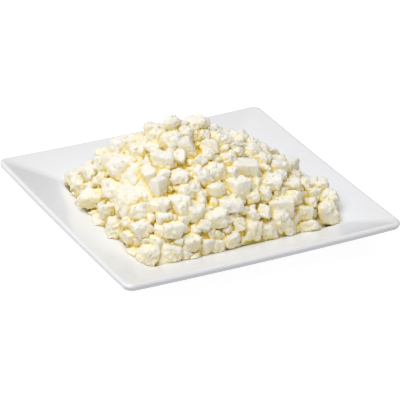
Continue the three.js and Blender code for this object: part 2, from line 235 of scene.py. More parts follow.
# How sharply the sides of crumbs of each boxiness meet, and how lumpy they are: cut blocks least.
BOXINESS = (3, 4, 5, 8, 9)
SIDE_SHARPNESS = (3.5, 5, 7, 10, 14)
LUMPINESS = (1, 0.95, 0.8, 0.65, 0.5)
CUT_FACE_SHARE = (0.05, 0.05, 0.1, 0.3, 0.7)
CUT_FACE_ROUGHNESS = 0.5
# How sharply the smoothness of one face gives way to the next one's.
FACE_FOCUS = 16
# The wavelength and height of the billows, the waves that add up to each, their lengths in
# wavelengths, and the field's mean.
BILLOWS = ((6.5, 0.3), (3.0, 0.4), (1.6, 0.38))
BILLOW_WAVES = 26
BILLOW_LENGTHS = (1.4, 2.6)
BILLOW_MEAN = 0.75
# Where the seeds of the random fields start.
BILLOW_SEED = 11
CORE_SEED = 5
LUMP_SEED = 50000
# How far past its own side a crumb's neighbours still shelter it from the light.
SHELTER_REACH = 14
# Crumbs nearer than this are the same crumb.
SAME_CRUMB = 0.01
# How far below the heap's form the depth that the material reads is full; it paints cream and golden
# shade by this depth.
DEEPEST = 10
# What the material reads all over the core: deep and sheltered, so the whole core is painted in cream
# and golden shade.
CORE_LOOK = {"crease": 0.6, "cut_face": 0, "tone": 0.5, "shelter": 3, "depth": 1}

# ---- Camera and studio ----
PHOTO_WIDTH = 400
FOCAL_PIXELS = 2775.1
SENSOR_WIDTH = 36
CAMERA_ELEVATION = 26.97
CAMERA_AZIMUTH = -27.75
CAMERA_ROLL = 0.9
CAMERA_DISTANCE = 1983.8
CAMERA_TARGET = (-4.2, -13.8, LIP_HEIGHT)
# The key light's place in metres to the right of, behind and above the dish, its size in metres,
# its power in watts, and the point it is turned to.
KEY_PLACE = (-0.45, -0.4, 1.6)
KEY_SIZE = 1.4
KEY_POWER = 17.5
KEY_AIM = (0, 0, 0.04)
# The side the pale ceiling is brightest on (right, behind, up), and how bright it and the rest are.
SKY_SIDE = (-0.25, -0.25, 0.93)
SKY_GLOW = 0.84
ROOM_GLOW = 0.04
FLOOR_GLOW = 0.86
# How far the floor reaches each way, and how far the camera sees, in metres.
FLOOR_REACH = 6
CLIP_END = 20


# ---- Small helpers ----
def mix(low, high, amount):
    return low + (high - low) * amount


# The slots of a crumb's draws. Slots 0 to 10 place, size and turn it, and choose how boxy it is.
HOST_SLOT = 11
SIDE_SLOT = 20
CUT_SLOT = 40
CUT_FACE_SLOT = 60
LUMP_SLOT = 70
TONE_SLOT = 72


def draw(index, slot):
    """A repeatable draw from 0 to 1 for one property (slot) of one crumb (index)."""
    mask = 0xFFFFFFFF
    h = (((index + 1) * 0x9E3779B1) ^ ((slot + 1) * 0x85EBCA77)) & mask
    h = ((h ^ (h >> 15)) * 0x2C1B3C6D) & mask
    h = ((h ^ (h >> 12)) * 0x297A2D39) & mask
    return (h ^ (h >> 15)) / 4294967296


def spread(index, slot, size):
    return size * (2 * draw(index, slot) - 1)


def turn_about(axis, angle):
    """Rotation matrix about X (0), Y (1) or Z (2)."""
    return np.array(Matrix.Rotation(angle, 3, "XYZ"[axis]))


def turned(x_angle, y_angle, z_angle):
    return turn_about(0, x_angle) @ turn_about(1, y_angle) @ turn_about(2, z_angle)


def mesh_object(name, points, faces):
    """A smooth triangle mesh from millimetre points, riding on the part's one body."""
    points = np.asarray(points, float) * MM
    faces = np.asarray(faces, np.int32)
    mesh = bpy.data.meshes.new(name)
    mesh.vertices.add(len(points))
    mesh.vertices.foreach_set("co", points.ravel())
    mesh.loops.add(faces.size)
    mesh.loops.foreach_set("vertex_index", faces.ravel())
    mesh.polygons.add(len(faces))
    mesh.polygons.foreach_set("loop_start", np.arange(0, faces.size, faces.shape[1], dtype=np.int32))
    mesh.polygons.foreach_set("use_smooth", np.ones(len(faces), bool))
    mesh.update(calc_edges=True)
    piece = bpy.data.objects.new(name, mesh)
    bpy.context.scene.collection.objects.link(piece)
    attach(piece, "root")
    return piece


def band(inner, outer):
    """Triangles between two rings, each the numbers of its points in order."""
    inner_after, outer_after = np.roll(inner, -1), np.roll(outer, -1)
    return np.concatenate([
        np.stack([inner, outer, outer_after], axis=1),
        np.stack([inner, outer_after, inner_after], axis=1),
    ])


def fan(tip, ring):
    """Triangles from one point to a ring around it."""
    return np.stack([np.full(len(ring), tip), ring, np.roll(ring, -1)], axis=1)


def flipped(triangles):
    return triangles[:, [0, 2, 1]]


def last_within(count, farthest, halvings, is_within):
    """How far out on each of several rays is_within, which takes the distances, stops holding."""
    inside, outside = np.zeros(count), np.full(count, farthest)
    for _ in range(halvings):
        distance = (inside + outside) / 2
        within = is_within(distance)
        inside = np.where(within, distance, inside)
        outside = np.where(within, outside, distance)
    return inside


# ---- Dish ----
def rounded_profile(corners, degrees_per_step):
    """Walks corners (half, z, round), replacing each by an arc of radius round."""
    path = []
    for number, (half, z, radius) in enumerate(corners):
        here = np.array([half, z], float)
        if not radius:
            path.append(here)
            continue
        before = np.array(corners[number - 1][:2], float) - here
        after = np.array(corners[number + 1][:2], float) - here
        before /= np.linalg.norm(before)
        after /= np.linalg.norm(after)
        opening = math.acos(before @ after)
        towards = (before + after) / np.linalg.norm(before + after)
        centre = here + towards * radius / math.sin(opening / 2)
        start = here + before * radius / math.tan(opening / 2) - centre
        end = here + after * radius / math.tan(opening / 2) - centre
        sweep = math.pi - opening
        side = np.sign(start[0] * end[1] - start[1] * end[0])
        steps = max(1, round(sweep / math.radians(degrees_per_step)))
        for step in range(steps + 1):
            angle = side * sweep * step / steps
            cosine, sine = math.cos(angle), math.sin(angle)
            arm = np.array([start[0] * cosine - start[1] * sine, start[0] * sine + start[1] * cosine])
            path.append(centre + arm)
    return np.array(path)


def dish_top():
    return [
        (FLOOR_HALF / 4, FLOOR_HEIGHT, 0),
        (FLOOR_HALF / 2, FLOOR_HEIGHT, 0),
        (FLOOR_HALF, FLOOR_HEIGHT, FLOOR_ROUND),
        (SHOULDER_HALF, LIP_HEIGHT - RIM_DROP, SHOULDER_ROUND),
        (DISH_SIDE / 2 + LIP_OVERRUN_OUT, LIP_HEIGHT + LIP_OVERRUN_UP, LIP_ROUND),
    ]


def dish_underside():
    foot_inside = FOOT_HALF - FOOT_WIDTH
    return [
        (DISH_SIDE / 2 - LIP_UNDERCUT, LIP_HEIGHT - LIP_THICKNESS, LIP_ROUND),
        (SHOULDER_HALF + UNDERSIDE_SHIFT, LIP_HEIGHT - RIM_DROP - UNDERSIDE_DROP, UNDERSIDE_ROUND),
        (FOOT_HALF + FOOT_FLARE_OUT, FOOT_HEIGHT + FOOT_FLARE_UP, FLARE_ROUND),
        (FOOT_HALF, 0, FOOT_ROUND),
        (foot_inside, 0, FOOT_ROUND),
        (foot_inside - FOOT_SLOPE, FOOT_HEIGHT, FOOT_INSIDE_ROUND),
        (FLOOR_HALF / 2, FOOT_HEIGHT, 0),
        (FLOOR_HALF / 4, FOOT_HEIGHT, 0),
    ]


TOP_PATH = rounded_profile(dish_top()[:-1] + [(DISH_SIDE / 2, LIP_HEIGHT, 0)], PATH_STEP)


def rim_half(x, y, corner=TYPICAL_CORNER):
    """The half side of the rounded square through a point, for corners of about this radius."""
    longer = np.maximum(np.abs(x), np.abs(y))
    apart = np.abs(np.abs(x) - np.abs(y))
    total = np.abs(x) + np.abs(y)
    in_corner = (total - np.sqrt(np.maximum(0, 2 * corner**2 - apart**2))) / 2 + corner
    return np.where(apart < corner, in_corner, longer)


def dish_height(x, y):
    """Height of the dish's upper surface under a point."""
    half = rim_half(x, y)
    outward = np.clip((half - SHOULDER_HALF) / (DISH_SIDE / 2 - SHOULDER_HALF), 0, 1)
    lift = CORNER_LIFT * outward * (x * y / np.maximum(half, 1) ** 2) ** 2
    return np.interp(half, TOP_PATH[:, 0], TOP_PATH[:, 1]) + lift


def plan_corner(half):
    if half < SHOULDER_HALF:
        outward = max(0, (half - FLOOR_HALF) / (SHOULDER_HALF - FLOOR_HALF))
        return mix(FLOOR_CORNER, SHOULDER_CORNER, outward)
    outward = (half - SHOULDER_HALF) / (DISH_SIDE / 2 - SHOULDER_HALF)
    return mix(SHOULDER_CORNER, LIP_CORNER, outward)


def rounded_square(half, z):
    """One ring of the dish, walked anticlockwise, with its corners lifted a little."""
    corner = min(plan_corner(half), half / 2)
    outward = max(0, (half - SHOULDER_HALF) / (DISH_SIDE / 2 - SHOULDER_HALF))
    middle = half - corner
    side_steps = 24
    arc_steps = 14
    along = np.linspace(-1, 1, side_steps + 1)[1:-1]
    straight = np.stack([np.full(len(along), half), middle * along], axis=1)
    angles = np.linspace(0, math.pi / 2, arc_steps + 1)
    arc = middle + corner * np.stack([np.cos(angles), np.sin(angles)], axis=1)
    quarter = np.concatenate([straight, arc])
    ring = []
    for side in range(4):
        spin = turn_about(2, side * math.pi / 2)[:2, :2]
        ring.append(quarter @ spin.T)
    ring = np.concatenate(ring)
    lift = CORNER_LIFT * outward * (ring[:, 0] * ring[:, 1] / half**2) ** 2
    return np.column_stack([ring, z + lift])


def make_dish():
    profile = rounded_profile(dish_top() + dish_underside(), DISH_STEP)
    outlines = [rounded_square(half, z) for half, z in profile]
    points = np.concatenate(outlines + [[(0, 0, FLOOR_HEIGHT)], [(0, 0, FOOT_HEIGHT)]])
    count = len(points) - 2
    rings = np.arange(count).reshape(len(outlines), -1)
    faces = [band(inner, outer) for inner, outer in zip(rings, rings[1:])]
    faces += [fan(count, rings[0]), flipped(fan(count + 1, rings[-1]))]
    dish = mesh_object("dish_porcelain", points, np.concatenate(faces))
    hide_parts("dish")
    return dish


# ---- The heap's smooth form ----
def heap_reach(x, y):
    """How far out points lie between the heap's peak (0) and its foot (1), and the slack there."""
    right, back = x > PEAK[0], y > PEAK[1]
    edge_x = np.where(right, RIGHT[0], LEFT[0])
    edge_y = np.where(back, BACK[0], FRONT[0])
    u = np.abs(x - PEAK[0]) / np.abs(np.where(right, edge_x, -edge_x) - PEAK[0])
    v = np.abs(y - PEAK[1]) / np.abs(np.where(back, edge_y, -edge_y) - PEAK[1])
    power = 2 + HEAP_SQUARENESS * np.maximum(u, v) ** 2
    reach = (u**power + v**power) ** (1 / power)
    slack_x = np.where(right, RIGHT[1], LEFT[1])
    slack_y = np.where(back, BACK[1], FRONT[1])
    return reach, mix(slack_y, slack_x, u * u / (u * u + v * v + 1e-9))


def heap_height(x, y):
    reach, slack = heap_reach(x, y)
    return HEAP_BASE + HEAP_RISE * np.maximum(0, 1 - reach) ** slack


HEAP_MIDDLE = np.array([PEAK[0], PEAK[1], HEAP_BASE], float)


def heap_surface(directions, halvings=HALVINGS):
    """How far rays from the middle of the heap's base run before they leave the heap."""

    def in_heap(distance):
        x, y, z = (HEAP_MIDDLE + directions * distance[:, None]).T
        return (heap_reach(x, y)[0] < 1) & (z < heap_height(x, y))

    return last_within(len(directions), 2.0 * RIGHT[0], halvings, in_heap)


def heap_direction(azimuth, sine_of_height):
    flat = math.sqrt(1 - sine_of_height**2)
    return np.array([flat * math.cos(azimuth), flat * math.sin(azimuth), sine_of_height])


def depth_below_form(points):
    """How far points lie inside the heap's smooth form, along rays from the heap's middle."""
    arms = points - HEAP_MIDDLE
    distance = np.maximum(np.linalg.norm(arms, axis=1), 1e-6)
    directions = arms / distance[:, None]
    directions[:, 2] = np.maximum(directions[:, 2], 0)
    return heap_surface(directions, DEPTH_HALVINGS) - distance


# ---- Where the crumbs lie ----
@dataclass
class Crumb:
    index: int
    centre: np.ndarray
    half: np.ndarray
    radius: float
    turn: np.ndarray
    boxiness: float


def placed_chunk(index, row):
    x, y, z, length, depth, height, turn, boxiness = row
    return Crumb(
        index=index,
        centre=np.array([x, y, z], float),
        half=np.array([length, depth, height]) / 2,
        radius=(length * depth * height) ** (1 / 3) / 2,
        turn=turned(spread(index, 0, CHUNK_TIP), spread(index, 1, CHUNK_TIP), math.radians(turn)),
        boxiness=boxiness,
    )


def scattered_crumbs(first, size):
    """Crumbs in drawn directions, sunk so that the tops of all sizes show."""
    tries, smallest, largest = size
    indices = range(first, first + tries)
    directions = np.array([heap_direction(2 * math.pi * draw(i, 0), draw(i, 1)) for i in indices])
    distances = heap_surface(directions)
    for index, direction, distance in zip(indices, directions, distances):
        radius = mix(smallest, largest, draw(index, 2) ** 2)
        sunk = max(CRUMB_SINK * radius, CRUMB_GRIP - radius) + spread(index, 3, SINK_SPREAD * radius)
        yield crumb_of(index, HEAP_MIDDLE + direction * (distance - sunk), radius)


def buried_crumbs(first, size):
    """Smaller crumbs at drawn depths, which fill the gaps between those that show."""
    tries, smallest, largest, shallow, deep = size[:5]
    indices = range(first, first + tries)
    directions = np.array([heap_direction(2 * math.pi * draw(i, 0), draw(i, 1)) for i in indices])
    distances = heap_surface(directions)
    for index, direction, distance in zip(indices, directions, distances):
        radius = mix(smallest, largest, draw(index, 2))
        sunk = mix(shallow, deep, draw(index, 3))
        yield crumb_of(index, HEAP_MIDDLE + direction * (distance - sunk), radius)


def crumb_of(index, centre, radius):
    shares = [mix(*limits, draw(index, 4 + axis)) for axis, limits in enumerate(CRUMB_SHARES)]
    tips = [spread(index, 7, CRUMB_TIP), spread(index, 8, CRUMB_TIP)]
    return Crumb(
        index=index,
        centre=centre,
        half=radius * np.array(shares),
        radius=radius,
        turn=turned(*tips, spread(index, 9, math.pi)),
        boxiness=BOXY if draw(index, 10) < BOXY_SHARE else ROUNDISH,
    )


def add_where_free(crumbs, candidates, spacing):
    """Adds each candidate that keeps its distance from the hollows and every crumb already there."""
    centres = np.array([crumb.centre for crumb in crumbs] + [hollow[:3] for hollow in HOLLOWS])
    radii = np.array([crumb.radius for crumb in crumbs] + [hollow[3] for hollow in HOLLOWS])
    for crumb in candidates:
        apart = spacing * (crumb.radius + radii)
        if np.all(((centres - crumb.centre) ** 2).sum(axis=1) > apart**2):
            crumbs.append(crumb)
            centres = np.vstack([centres, crumb.centre])
            radii = np.append(radii, crumb.radius)


# ---- What one crumb looks like ----
def crumb_planes(crumb):
    """The planes that bound a crumb: six tipped sides of a box, and cuts unless it is a cut cube."""
    normals, distances = [], []
    for axis in range(3):
        for side, sign in enumerate((1, -1)):
            slot = SIDE_SLOT + 4 * axis + 2 * side
            tips = [spread(crumb.index, slot, SIDE_TIP), spread(crumb.index, slot + 1, SIDE_TIP)]
            tips.insert(axis, sign)
            normals.append(np.array(tips) / np.linalg.norm(tips))
            distances.append(crumb.half[axis])
    if crumb.index == WEDGE_CHUNK:
        normals.append(np.array(WEDGE_NORMAL) / np.linalg.norm(WEDGE_NORMAL))
        distances.append(WEDGE_DISTANCE)
    if crumb.boxiness >= CUT_CUBE:
        return np.array(normals), np.array(distances)
    for cut in range(CUTS):
        slot = CUT_SLOT + 4 * cut
        azimuth = 2 * math.pi * draw(crumb.index, slot)
        normal = heap_direction(azimuth, 2 * draw(crumb.index, slot + 1) - 1)
        normals.append(normal)
        share = mix(*CUT_REACH, draw(crumb.index, slot + 2))
        distances.append(np.linalg.norm(normal * crumb.half) * share)
    return np.array(normals), np.array(distances)


def geodesic_sphere(frequency):
    """A unit sphere of 20 * frequency ** 2 even triangles."""
    solid = bmesh.new()
    bmesh.ops.create_icosphere(solid, subdivisions=1, radius=1)
    corners = np.array([[vertex.co for vertex in face.verts] for face in solid.faces])
    solid.free()
    steps = [(i, j) for i in range(frequency + 1) for j in range(frequency + 1 - i)]
    number = {step: n for n, step in enumerate(steps)}
    weights = np.array([(frequency - i - j, i, j) for i, j in steps]) / frequency
    cells = []
    for i, j in steps:
        if i + j < frequency:
            cells.append((number[i, j], number[i + 1, j], number[i, j + 1]))
        if i + j < frequency - 1:
            cells.append((number[i + 1, j], number[i + 1, j + 1], number[i, j + 1]))
    points = np.concatenate([weights @ triangle for triangle in corners])
    faces = np.concatenate([np.array(cells) + n * len(steps) for n in range(len(corners))])
    unique, where = np.unique(points.round(5), axis=0, return_inverse=True)
    unique /= np.linalg.norm(unique, axis=1)[:, None]
    return unique, where.reshape(-1)[faces]


SPHERES = {}


def sphere_for(radius, edge):
    frequency = max(2, round(SIDE_PER_RADIUS * radius / edge))
    if frequency not in SPHERES:
        SPHERES[frequency] = geodesic_sphere(frequency)
    return SPHERES[frequency]


def billow_field(wavelength, seed, waves=BILLOW_WAVES):
    """A smooth random field whose creases lie about this wavelength apart."""
    generator = np.random.default_rng(seed)
    axes = generator.normal(size=(waves, 3))
    axes /= np.linalg.norm(axes, axis=1)[:, None]
    pitch = 2 * math.pi / (wavelength * generator.uniform(*BILLOW_LENGTHS, waves))
    phases = generator.uniform(0, 2 * math.pi, waves)

    def field(points):
        return np.abs(np.sin(points @ (axes * pitch[:, None]).T + phases).sum(axis=1)) / math.sqrt(waves)

    return field


BILLOW_FIELDS = [
    (billow_field(wavelength, BILLOW_SEED + number), height)
    for number, (wavelength, height) in enumerate(BILLOWS)
]


def lump_places(count, index):
    """Directions spread evenly over a sphere, turned and jittered for one crumb."""
    numbers = np.arange(count) + 0.5
    z = 1 - 2 * numbers / count
    around = numbers * math.pi * (3 - math.sqrt(5)) + 2 * math.pi * draw(index, LUMP_SLOT)
    flat = np.sqrt(1 - z * z)
    places = np.stack([flat * np.cos(around), flat * np.sin(around), z], axis=1)
    stray = LUMP_STRAY / math.sqrt(count)
    places += np.random.default_rng(index).normal(scale=stray, size=places.shape)
    return places / np.linalg.norm(places, axis=1)[:, None]


def lump_relief(crumb, points, reach_of):
    """How proud the broken lumps of a crumb stand at points of its plain form."""
    generator = np.random.default_rng(crumb.index + LUMP_SEED)
    share = min(1, crumb.radius / FULL_LUMPS)
    usual = share * sum(LUMP_SIZE) / 2
    count = int(LUMP_COUNT * (crumb.radius / usual) ** 2)
    places = lump_places(count, crumb.index)
    middles = places * reach_of(places)[:, None]
    sizes = share * mix(*LUMP_SIZE, generator.random(count) ** LUMP_SMALLNESS)
    proud = sizes * mix(*LUMP_PROUD, generator.random(count))
    tilts = generator.normal(scale=LUMP_TILT, size=(count, 3))
    turns = np.linalg.qr(generator.normal(size=(count, 3, 3)))[0]
    away = points[:, None, :] - middles[None, :, :]
    across = np.einsum("vkc,kcd->vkd", away, turns)
    power = LUMP_SQUARENESS
    gaps = (across**power).sum(axis=2) ** (1 / power)
    domes = np.maximum(0, sizes**power - gaps**power) ** (1 / power) - sizes + proud
    leans = np.einsum("vkc,kc->vk", away, tilts) * (gaps < sizes)
    return np.maximum(0, (domes + leans).max(axis=1)), usual


def crumb_surface(crumb, directions):
    """Points of one crumb, and for each how deep in a crease it lies and how smooth its face is."""
    normals, distances = crumb_planes(crumb)
    sharpness = np.interp(crumb.boxiness, BOXINESS, SIDE_SHARPNESS)

    def ratios(towards):
        return np.maximum(0, towards @ normals.T / distances)

    def reach_of(towards):
        return (ratios(towards) ** sharpness).sum(axis=1) ** (-1 / sharpness)

    reach = reach_of(directions)
    cut_share = np.interp(crumb.boxiness, BOXINESS, CUT_FACE_SHARE)
    is_cut = np.array([draw(crumb.index, CUT_FACE_SLOT + n) < cut_share for n in range(len(distances))])
    weight = ratios(directions) ** FACE_FOCUS
    smooth = (weight * is_cut).sum(axis=1) / weight.sum(axis=1)
    roughness = mix(1, CUT_FACE_ROUGHNESS, smooth)

    points = directions * reach[:, None]
    relief, usual = lump_relief(crumb, points, reach_of)
    crease = np.clip(1 - relief / (CREASE_END * usual), 0, 1) * roughness
    relief = (relief - PLAIN_FORM * usual) * np.interp(crumb.boxiness, BOXINESS, LUMPINESS)
    world = (points @ crumb.turn.T) + crumb.centre
    size_share = min(1, crumb.radius / FULL_BILLOWS)
    for field, height in BILLOW_FIELDS:
        relief = relief + height * size_share * (field(world) - BILLOW_MEAN)
    shaped = directions * (reach + relief * roughness)[:, None]
    return shaped @ crumb.turn.T + crumb.centre, crease, smooth


def shelter_of(crumb, points, centres, radii):
    """How far the crumbs near a crumb, seen as balls, hide the sky from points of its surface."""
    outward = points - crumb.centre
    outward /= np.linalg.norm(outward, axis=1)[:, None]
    apart = np.linalg.norm(centres - crumb.centre, axis=1)
    near = (apart > SAME_CRUMB) & (apart < crumb.radius + radii + SHELTER_REACH)
    away = centres[near][None] - points[:, None]
    distance = np.linalg.norm(away, axis=2)
    facing = np.maximum(0, np.einsum("vkc,vc->vk", away, outward) / distance)
    return (np.minimum(1, radii[near] / distance) ** 2 * facing).sum(axis=1)


def keep_above_dish(points):
    """Crumbs rest on the dish: what would sink into it is pressed flat over it."""
    lowest = dish_height(points[:, 0], points[:, 1]) + FIT_GAP
    points[:, 2] = np.maximum(points[:, 2], lowest)
    return points


def float_attribute(piece, name, values):
    attribute = piece.data.attributes.new(name, "FLOAT", "POINT")
    attribute.data.foreach_set("value", np.asarray(values, np.float32))


def make_crumbs(name, crumbs, neighbours, material, edge=TRIANGLE_EDGE):
    """One joined mesh of crumbs, each a closed shell, with what the material reads of them: tone, cut
    faces, and the creases, shelter and depth that it paints shade by.
    """
    centres = np.array([crumb.centre for crumb in neighbours])
    radii = np.array([crumb.radius for crumb in neighbours])
    points, faces = [], []
    looks = {"crease": [], "cut_face": [], "tone": [], "shelter": []}
    total = 0
    for crumb in crumbs:
        directions, triangles = sphere_for(crumb.radius, edge)
        surface, crease, smooth = crumb_surface(crumb, directions)
        points.append(surface)
        faces.append(triangles + total)
        looks["crease"].append(crease)
        looks["cut_face"].append(smooth)
        looks["tone"].append(np.full(len(surface), draw(crumb.index, TONE_SLOT)))
        looks["shelter"].append(shelter_of(crumb, surface, centres, radii))
        total += len(surface)
    points = keep_above_dish(np.concatenate(points))
    piece = mesh_object(name, points, np.concatenate(faces))
    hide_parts("feta_heap")
    for look, values in looks.items():
        float_attribute(piece, look, np.concatenate(values))
    # The depth below the heap's form, by which the material paints cream and golden shade.
    float_attribute(piece, "depth", np.clip(depth_below_form(points) / DEEPEST, 0, 1))
    piece.data.materials.append(material)
    print(name, len(crumbs), "crumbs", sum(map(len, faces)), "triangles")
    return piece


# ---- The core under the crumbs that show ----
def make_core(material):
    """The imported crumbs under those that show: the heap's form, sunk, with crumb-like bumps."""
    angles = np.linspace(0, 2 * math.pi, CORE_AROUND, endpoint=False)
    flat = np.stack([np.cos(angles), np.sin(angles)], axis=1)

    def in_core(distance):
        x, y = (flat * distance[:, None] + PEAK).T
        return heap_reach(x, y)[0] < CORE_REACH

    edge = last_within(CORE_AROUND, CORE_SEARCH, HALVINGS, in_core)
    shares = np.linspace(0, 1, CORE_LEVELS + 1)[1:]
    plan = (flat[None] * edge[None, :, None] * shares[:, None, None]).reshape(-1, 2) + PEAK
    x, y = plan.T
    form = np.column_stack([x, y, heap_height(x, y)])
    top = form[:, 2] - SCENE_CORE_DEPTH
    for number, (wavelength, height) in enumerate(CORE_BUMPS):
        top += height * (billow_field(wavelength, CORE_SEED + number)(form) - BILLOW_MEAN)
    floor = dish_height(x, y) + FIT_GAP
    top = np.maximum(top, floor + CORE_LEAST)
    summit = (PEAK[0], PEAK[1], HEAP_BASE + HEAP_RISE - SCENE_CORE_DEPTH)
    under = (PEAK[0], PEAK[1], FLOOR_HEIGHT + FIT_GAP)
    count = len(plan)
    points = np.concatenate([
        np.column_stack([plan, top]), np.column_stack([plan, floor]), [summit], [under],
    ])
    rings = np.arange(count).reshape(CORE_LEVELS, CORE_AROUND)
    faces = [fan(2 * count, rings[0]), flipped(fan(2 * count + 1, count + rings[0]))]
    for inner, outer in zip(rings, rings[1:]):
        faces += [band(inner, outer), flipped(band(count + inner, count + outer))]
    faces.append(band(rings[-1], count + rings[-1]))
    core = mesh_object("feta_core", points, np.concatenate(faces))
    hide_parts("feta_heap")
    for look, value in CORE_LOOK.items():
        float_attribute(core, look, np.full(len(points), value))
    core.data.materials.append(material)
    return core


# ---- Materials ----
class Nodes:
    """A material's node tree, with short ways to add and join its nodes."""

    def __init__(self, name):
        self.material = bpy.data.materials.new(name)
        self.material.use_nodes = True
        self.tree = self.material.node_tree
        self.shader = self.tree.nodes["Principled BSDF"]
        self.place = self.add("ShaderNodeTexCoord").outputs["Object"]

    def add(self, kind, **settings):
        node = self.tree.nodes.new(kind)
        for setting, value in settings.items():
            setattr(node, setting, value)
        return node

    def join(self, source, target):
        self.tree.links.new(source, target)

    def attribute(self, name):
        return self.add("ShaderNodeAttribute", attribute_name=name).outputs["Fac"]

    def upwardness(self):
        """From -1 where a face looks down to 1 where it looks up."""
        parts = self.add("ShaderNodeSeparateXYZ")
        self.join(self.add("ShaderNodeNewGeometry").outputs["Normal"], parts.inputs[0])
        return parts.outputs["Z"]

    def openness(self, reach_mm):
        """From 0 where things this near hide all the sky around a point to 1 where none do."""
        node = self.add("ShaderNodeAmbientOcclusion", samples=8)
        node.inputs["Distance"].default_value = reach_mm * MM
        return node.outputs["AO"]

    def noise(self, size_mm, detail=2.0, roughness=0.5):
        """Noise from 0 to 1 whose blotches are about this many millimetres across."""
        node = self.add("ShaderNodeTexNoise")
        node.inputs["Scale"].default_value = 1 / (size_mm * MM)
        node.inputs["Detail"].default_value = detail
        node.inputs["Roughness"].default_value = roughness
        self.join(self.place, node.inputs["Vector"])
        return node.outputs["Fac"]

    def ramp(self, value, low, high, to_low, to_high):
        """Maps a value from low..high to to_low..to_high, and holds it there."""
        node = self.add("ShaderNodeMapRange", clamp=True)
        self.join(value, node.inputs["Value"])
        limits = {"From Min": low, "From Max": high, "To Min": to_low, "To Max": to_high}
        for socket, number in limits.items():
            node.inputs[socket].default_value = number
        return node.outputs["Result"]

    def math(self, operation, first, second):
        node = self.add("ShaderNodeMath", operation=operation)
        for socket, value in zip(node.inputs, (first, second)):
            self.join(value, socket)
        return node.outputs[0]

    def total(self, values, ramps):
        """The sum of the named values, each through its own ramp."""
        amounts = [self.ramp(values[name], *limits) for name, limits in ramps.items()]
        whole = amounts[0]
        for amount in amounts[1:]:
            whole = self.math("ADD", whole, amount)
        return whole

    def blend(self, amount, first, second):
        """Mixes two colours, each a colour or an output, by an output."""
        node = self.add("ShaderNodeMix", data_type="RGBA")
        colour_inputs = [s for s in node.inputs if s.type == "RGBA"]
        factor = [s for s in node.inputs if s.type == "VALUE"][0]
        self.join(amount, factor)
        for socket, value in zip(colour_inputs, (first, second)):
            if isinstance(value, tuple):
                socket.default_value = (*value, 1)
            else:
                self.join(value, socket)
        return [s for s in node.outputs if s.type == "RGBA"][0]

    def bump(self, height, distance_mm, strength, normal=None):
        node = self.add("ShaderNodeBump")
        node.inputs["Strength"].default_value = strength
        node.inputs["Distance"].default_value = distance_mm * MM
        self.join(height, node.inputs["Height"])
        if normal is not None:
            self.join(normal, node.inputs["Normal"])
        return node.outputs["Normal"]


FETA_WHITE = (0.887, 0.878, 0.857)
# The cream that both the feta's own tone and its painted shade lead to.
FETA_CREAM = (0.97, 0.878, 0.6)
# Painted golden shade, standing in for light scattered through the cheese into its gaps.
FETA_PAINTED_GOLD = (1.0, 0.818, 0.2)
FETA_CUT = (0.885, 0.857, 0.823)
# How far away, in mm, things may be and still hide the sky from a point of the feta, which is then
# painted cream and golden shade.
FETA_SHADE_REACH = 22
# What turns feta cream: its own mottle and each crumb's tone, and painted shade in creases, in
# sheltered, deep and hidden places and on faces that look down. What paints it golden: painted shade
# deep in gaps and recesses, which stands in for light scattered through the cheese. For each value
# that counts, the two limits that it moves between, and how much colour it adds at each of them.
CREAM_TONE_AND_PAINTED_SHADE = {
    "mottle": (0.35, 0.7, 0, 0.4),
    "tone": (0, 1, 0, 0.15),
    "crease": (0.1, 1, 0, 0.15),
    "shelter": (0.1, 1.1, 0, 0.65),
    "openness": (0.15, 0.8, 0.5, 0),
    "depth": (0.05, 0.6, 0, 0.6),
    "upwardness": (-0.3, 0.8, 0.42, 0),
}
# Painted golden shade: sheltered, deep and hidden places turn golden.
PAINTED_GOLDEN_SHADE = {
    "shelter": (0.55, 1.5, 0, 0.9),
    "depth": (0.25, 0.8, 0, 0.6),
    "openness": (0.05, 0.5, 0.65, 0),
}
# How smooth a face is where it starts and ends to look cut, and on a cut face the share of its own
# tint and the share of the cream, tone and painted shade alike, that is left.
CUT_LIMITS = (0.4, 1)
CUT_TINT = 0.7
CUT_CREAM = 0.7


def feta_material():
    nodes = Nodes("feta")
    values = {name: nodes.attribute(name) for name in ("crease", "tone", "cut_face", "depth", "shelter")}
    values["mottle"] = nodes.noise(size_mm=16, detail=3)
    # How much sky reaches each point, which the feta paints shade by.
    values["openness"] = nodes.openness(FETA_SHADE_REACH)
    values["upwardness"] = nodes.upwardness()
    cut_cream = nodes.ramp(values["cut_face"], *CUT_LIMITS, 1, CUT_CREAM)
    # Cream: the feta's own mottle and tone, with painted shade in creases, gaps and down-facing sides.
    cream_tone_and_shade = nodes.math("MULTIPLY", nodes.total(values, CREAM_TONE_AND_PAINTED_SHADE), cut_cream)
    cut_tint = nodes.ramp(values["cut_face"], *CUT_LIMITS, 0, CUT_TINT)
    colour = nodes.blend(cut_tint, FETA_WHITE, FETA_CUT)
    colour = nodes.blend(cream_tone_and_shade, colour, FETA_CREAM)
    # Painted golden shade deep in the heap's gaps.
    colour = nodes.blend(nodes.total(values, PAINTED_GOLDEN_SHADE), colour, FETA_PAINTED_GOLD)
    nodes.join(colour, nodes.shader.inputs["Base Color"])
    grain = nodes.noise(size_mm=1.5, detail=4, roughness=0.65)
    pits = nodes.noise(size_mm=0.5, detail=2)
    normal = nodes.bump(grain, distance_mm=0.8, strength=0.8)
    normal = nodes.bump(pits, distance_mm=0.4, strength=0.8, normal=normal)
    nodes.join(normal, nodes.shader.inputs["Normal"])
    roughness = nodes.ramp(grain, low=0.3, high=0.7, to_low=0.5, to_high=0.72)
    nodes.join(roughness, nodes.shader.inputs["Roughness"])
    nodes.shader.inputs["Specular IOR Level"].default_value = 0.3
    return nodes.material


GLAZE_WHITE = (0.775, 0.775, 0.78)
GLAZE_SHADE = (0.75, 0.75, 0.758)
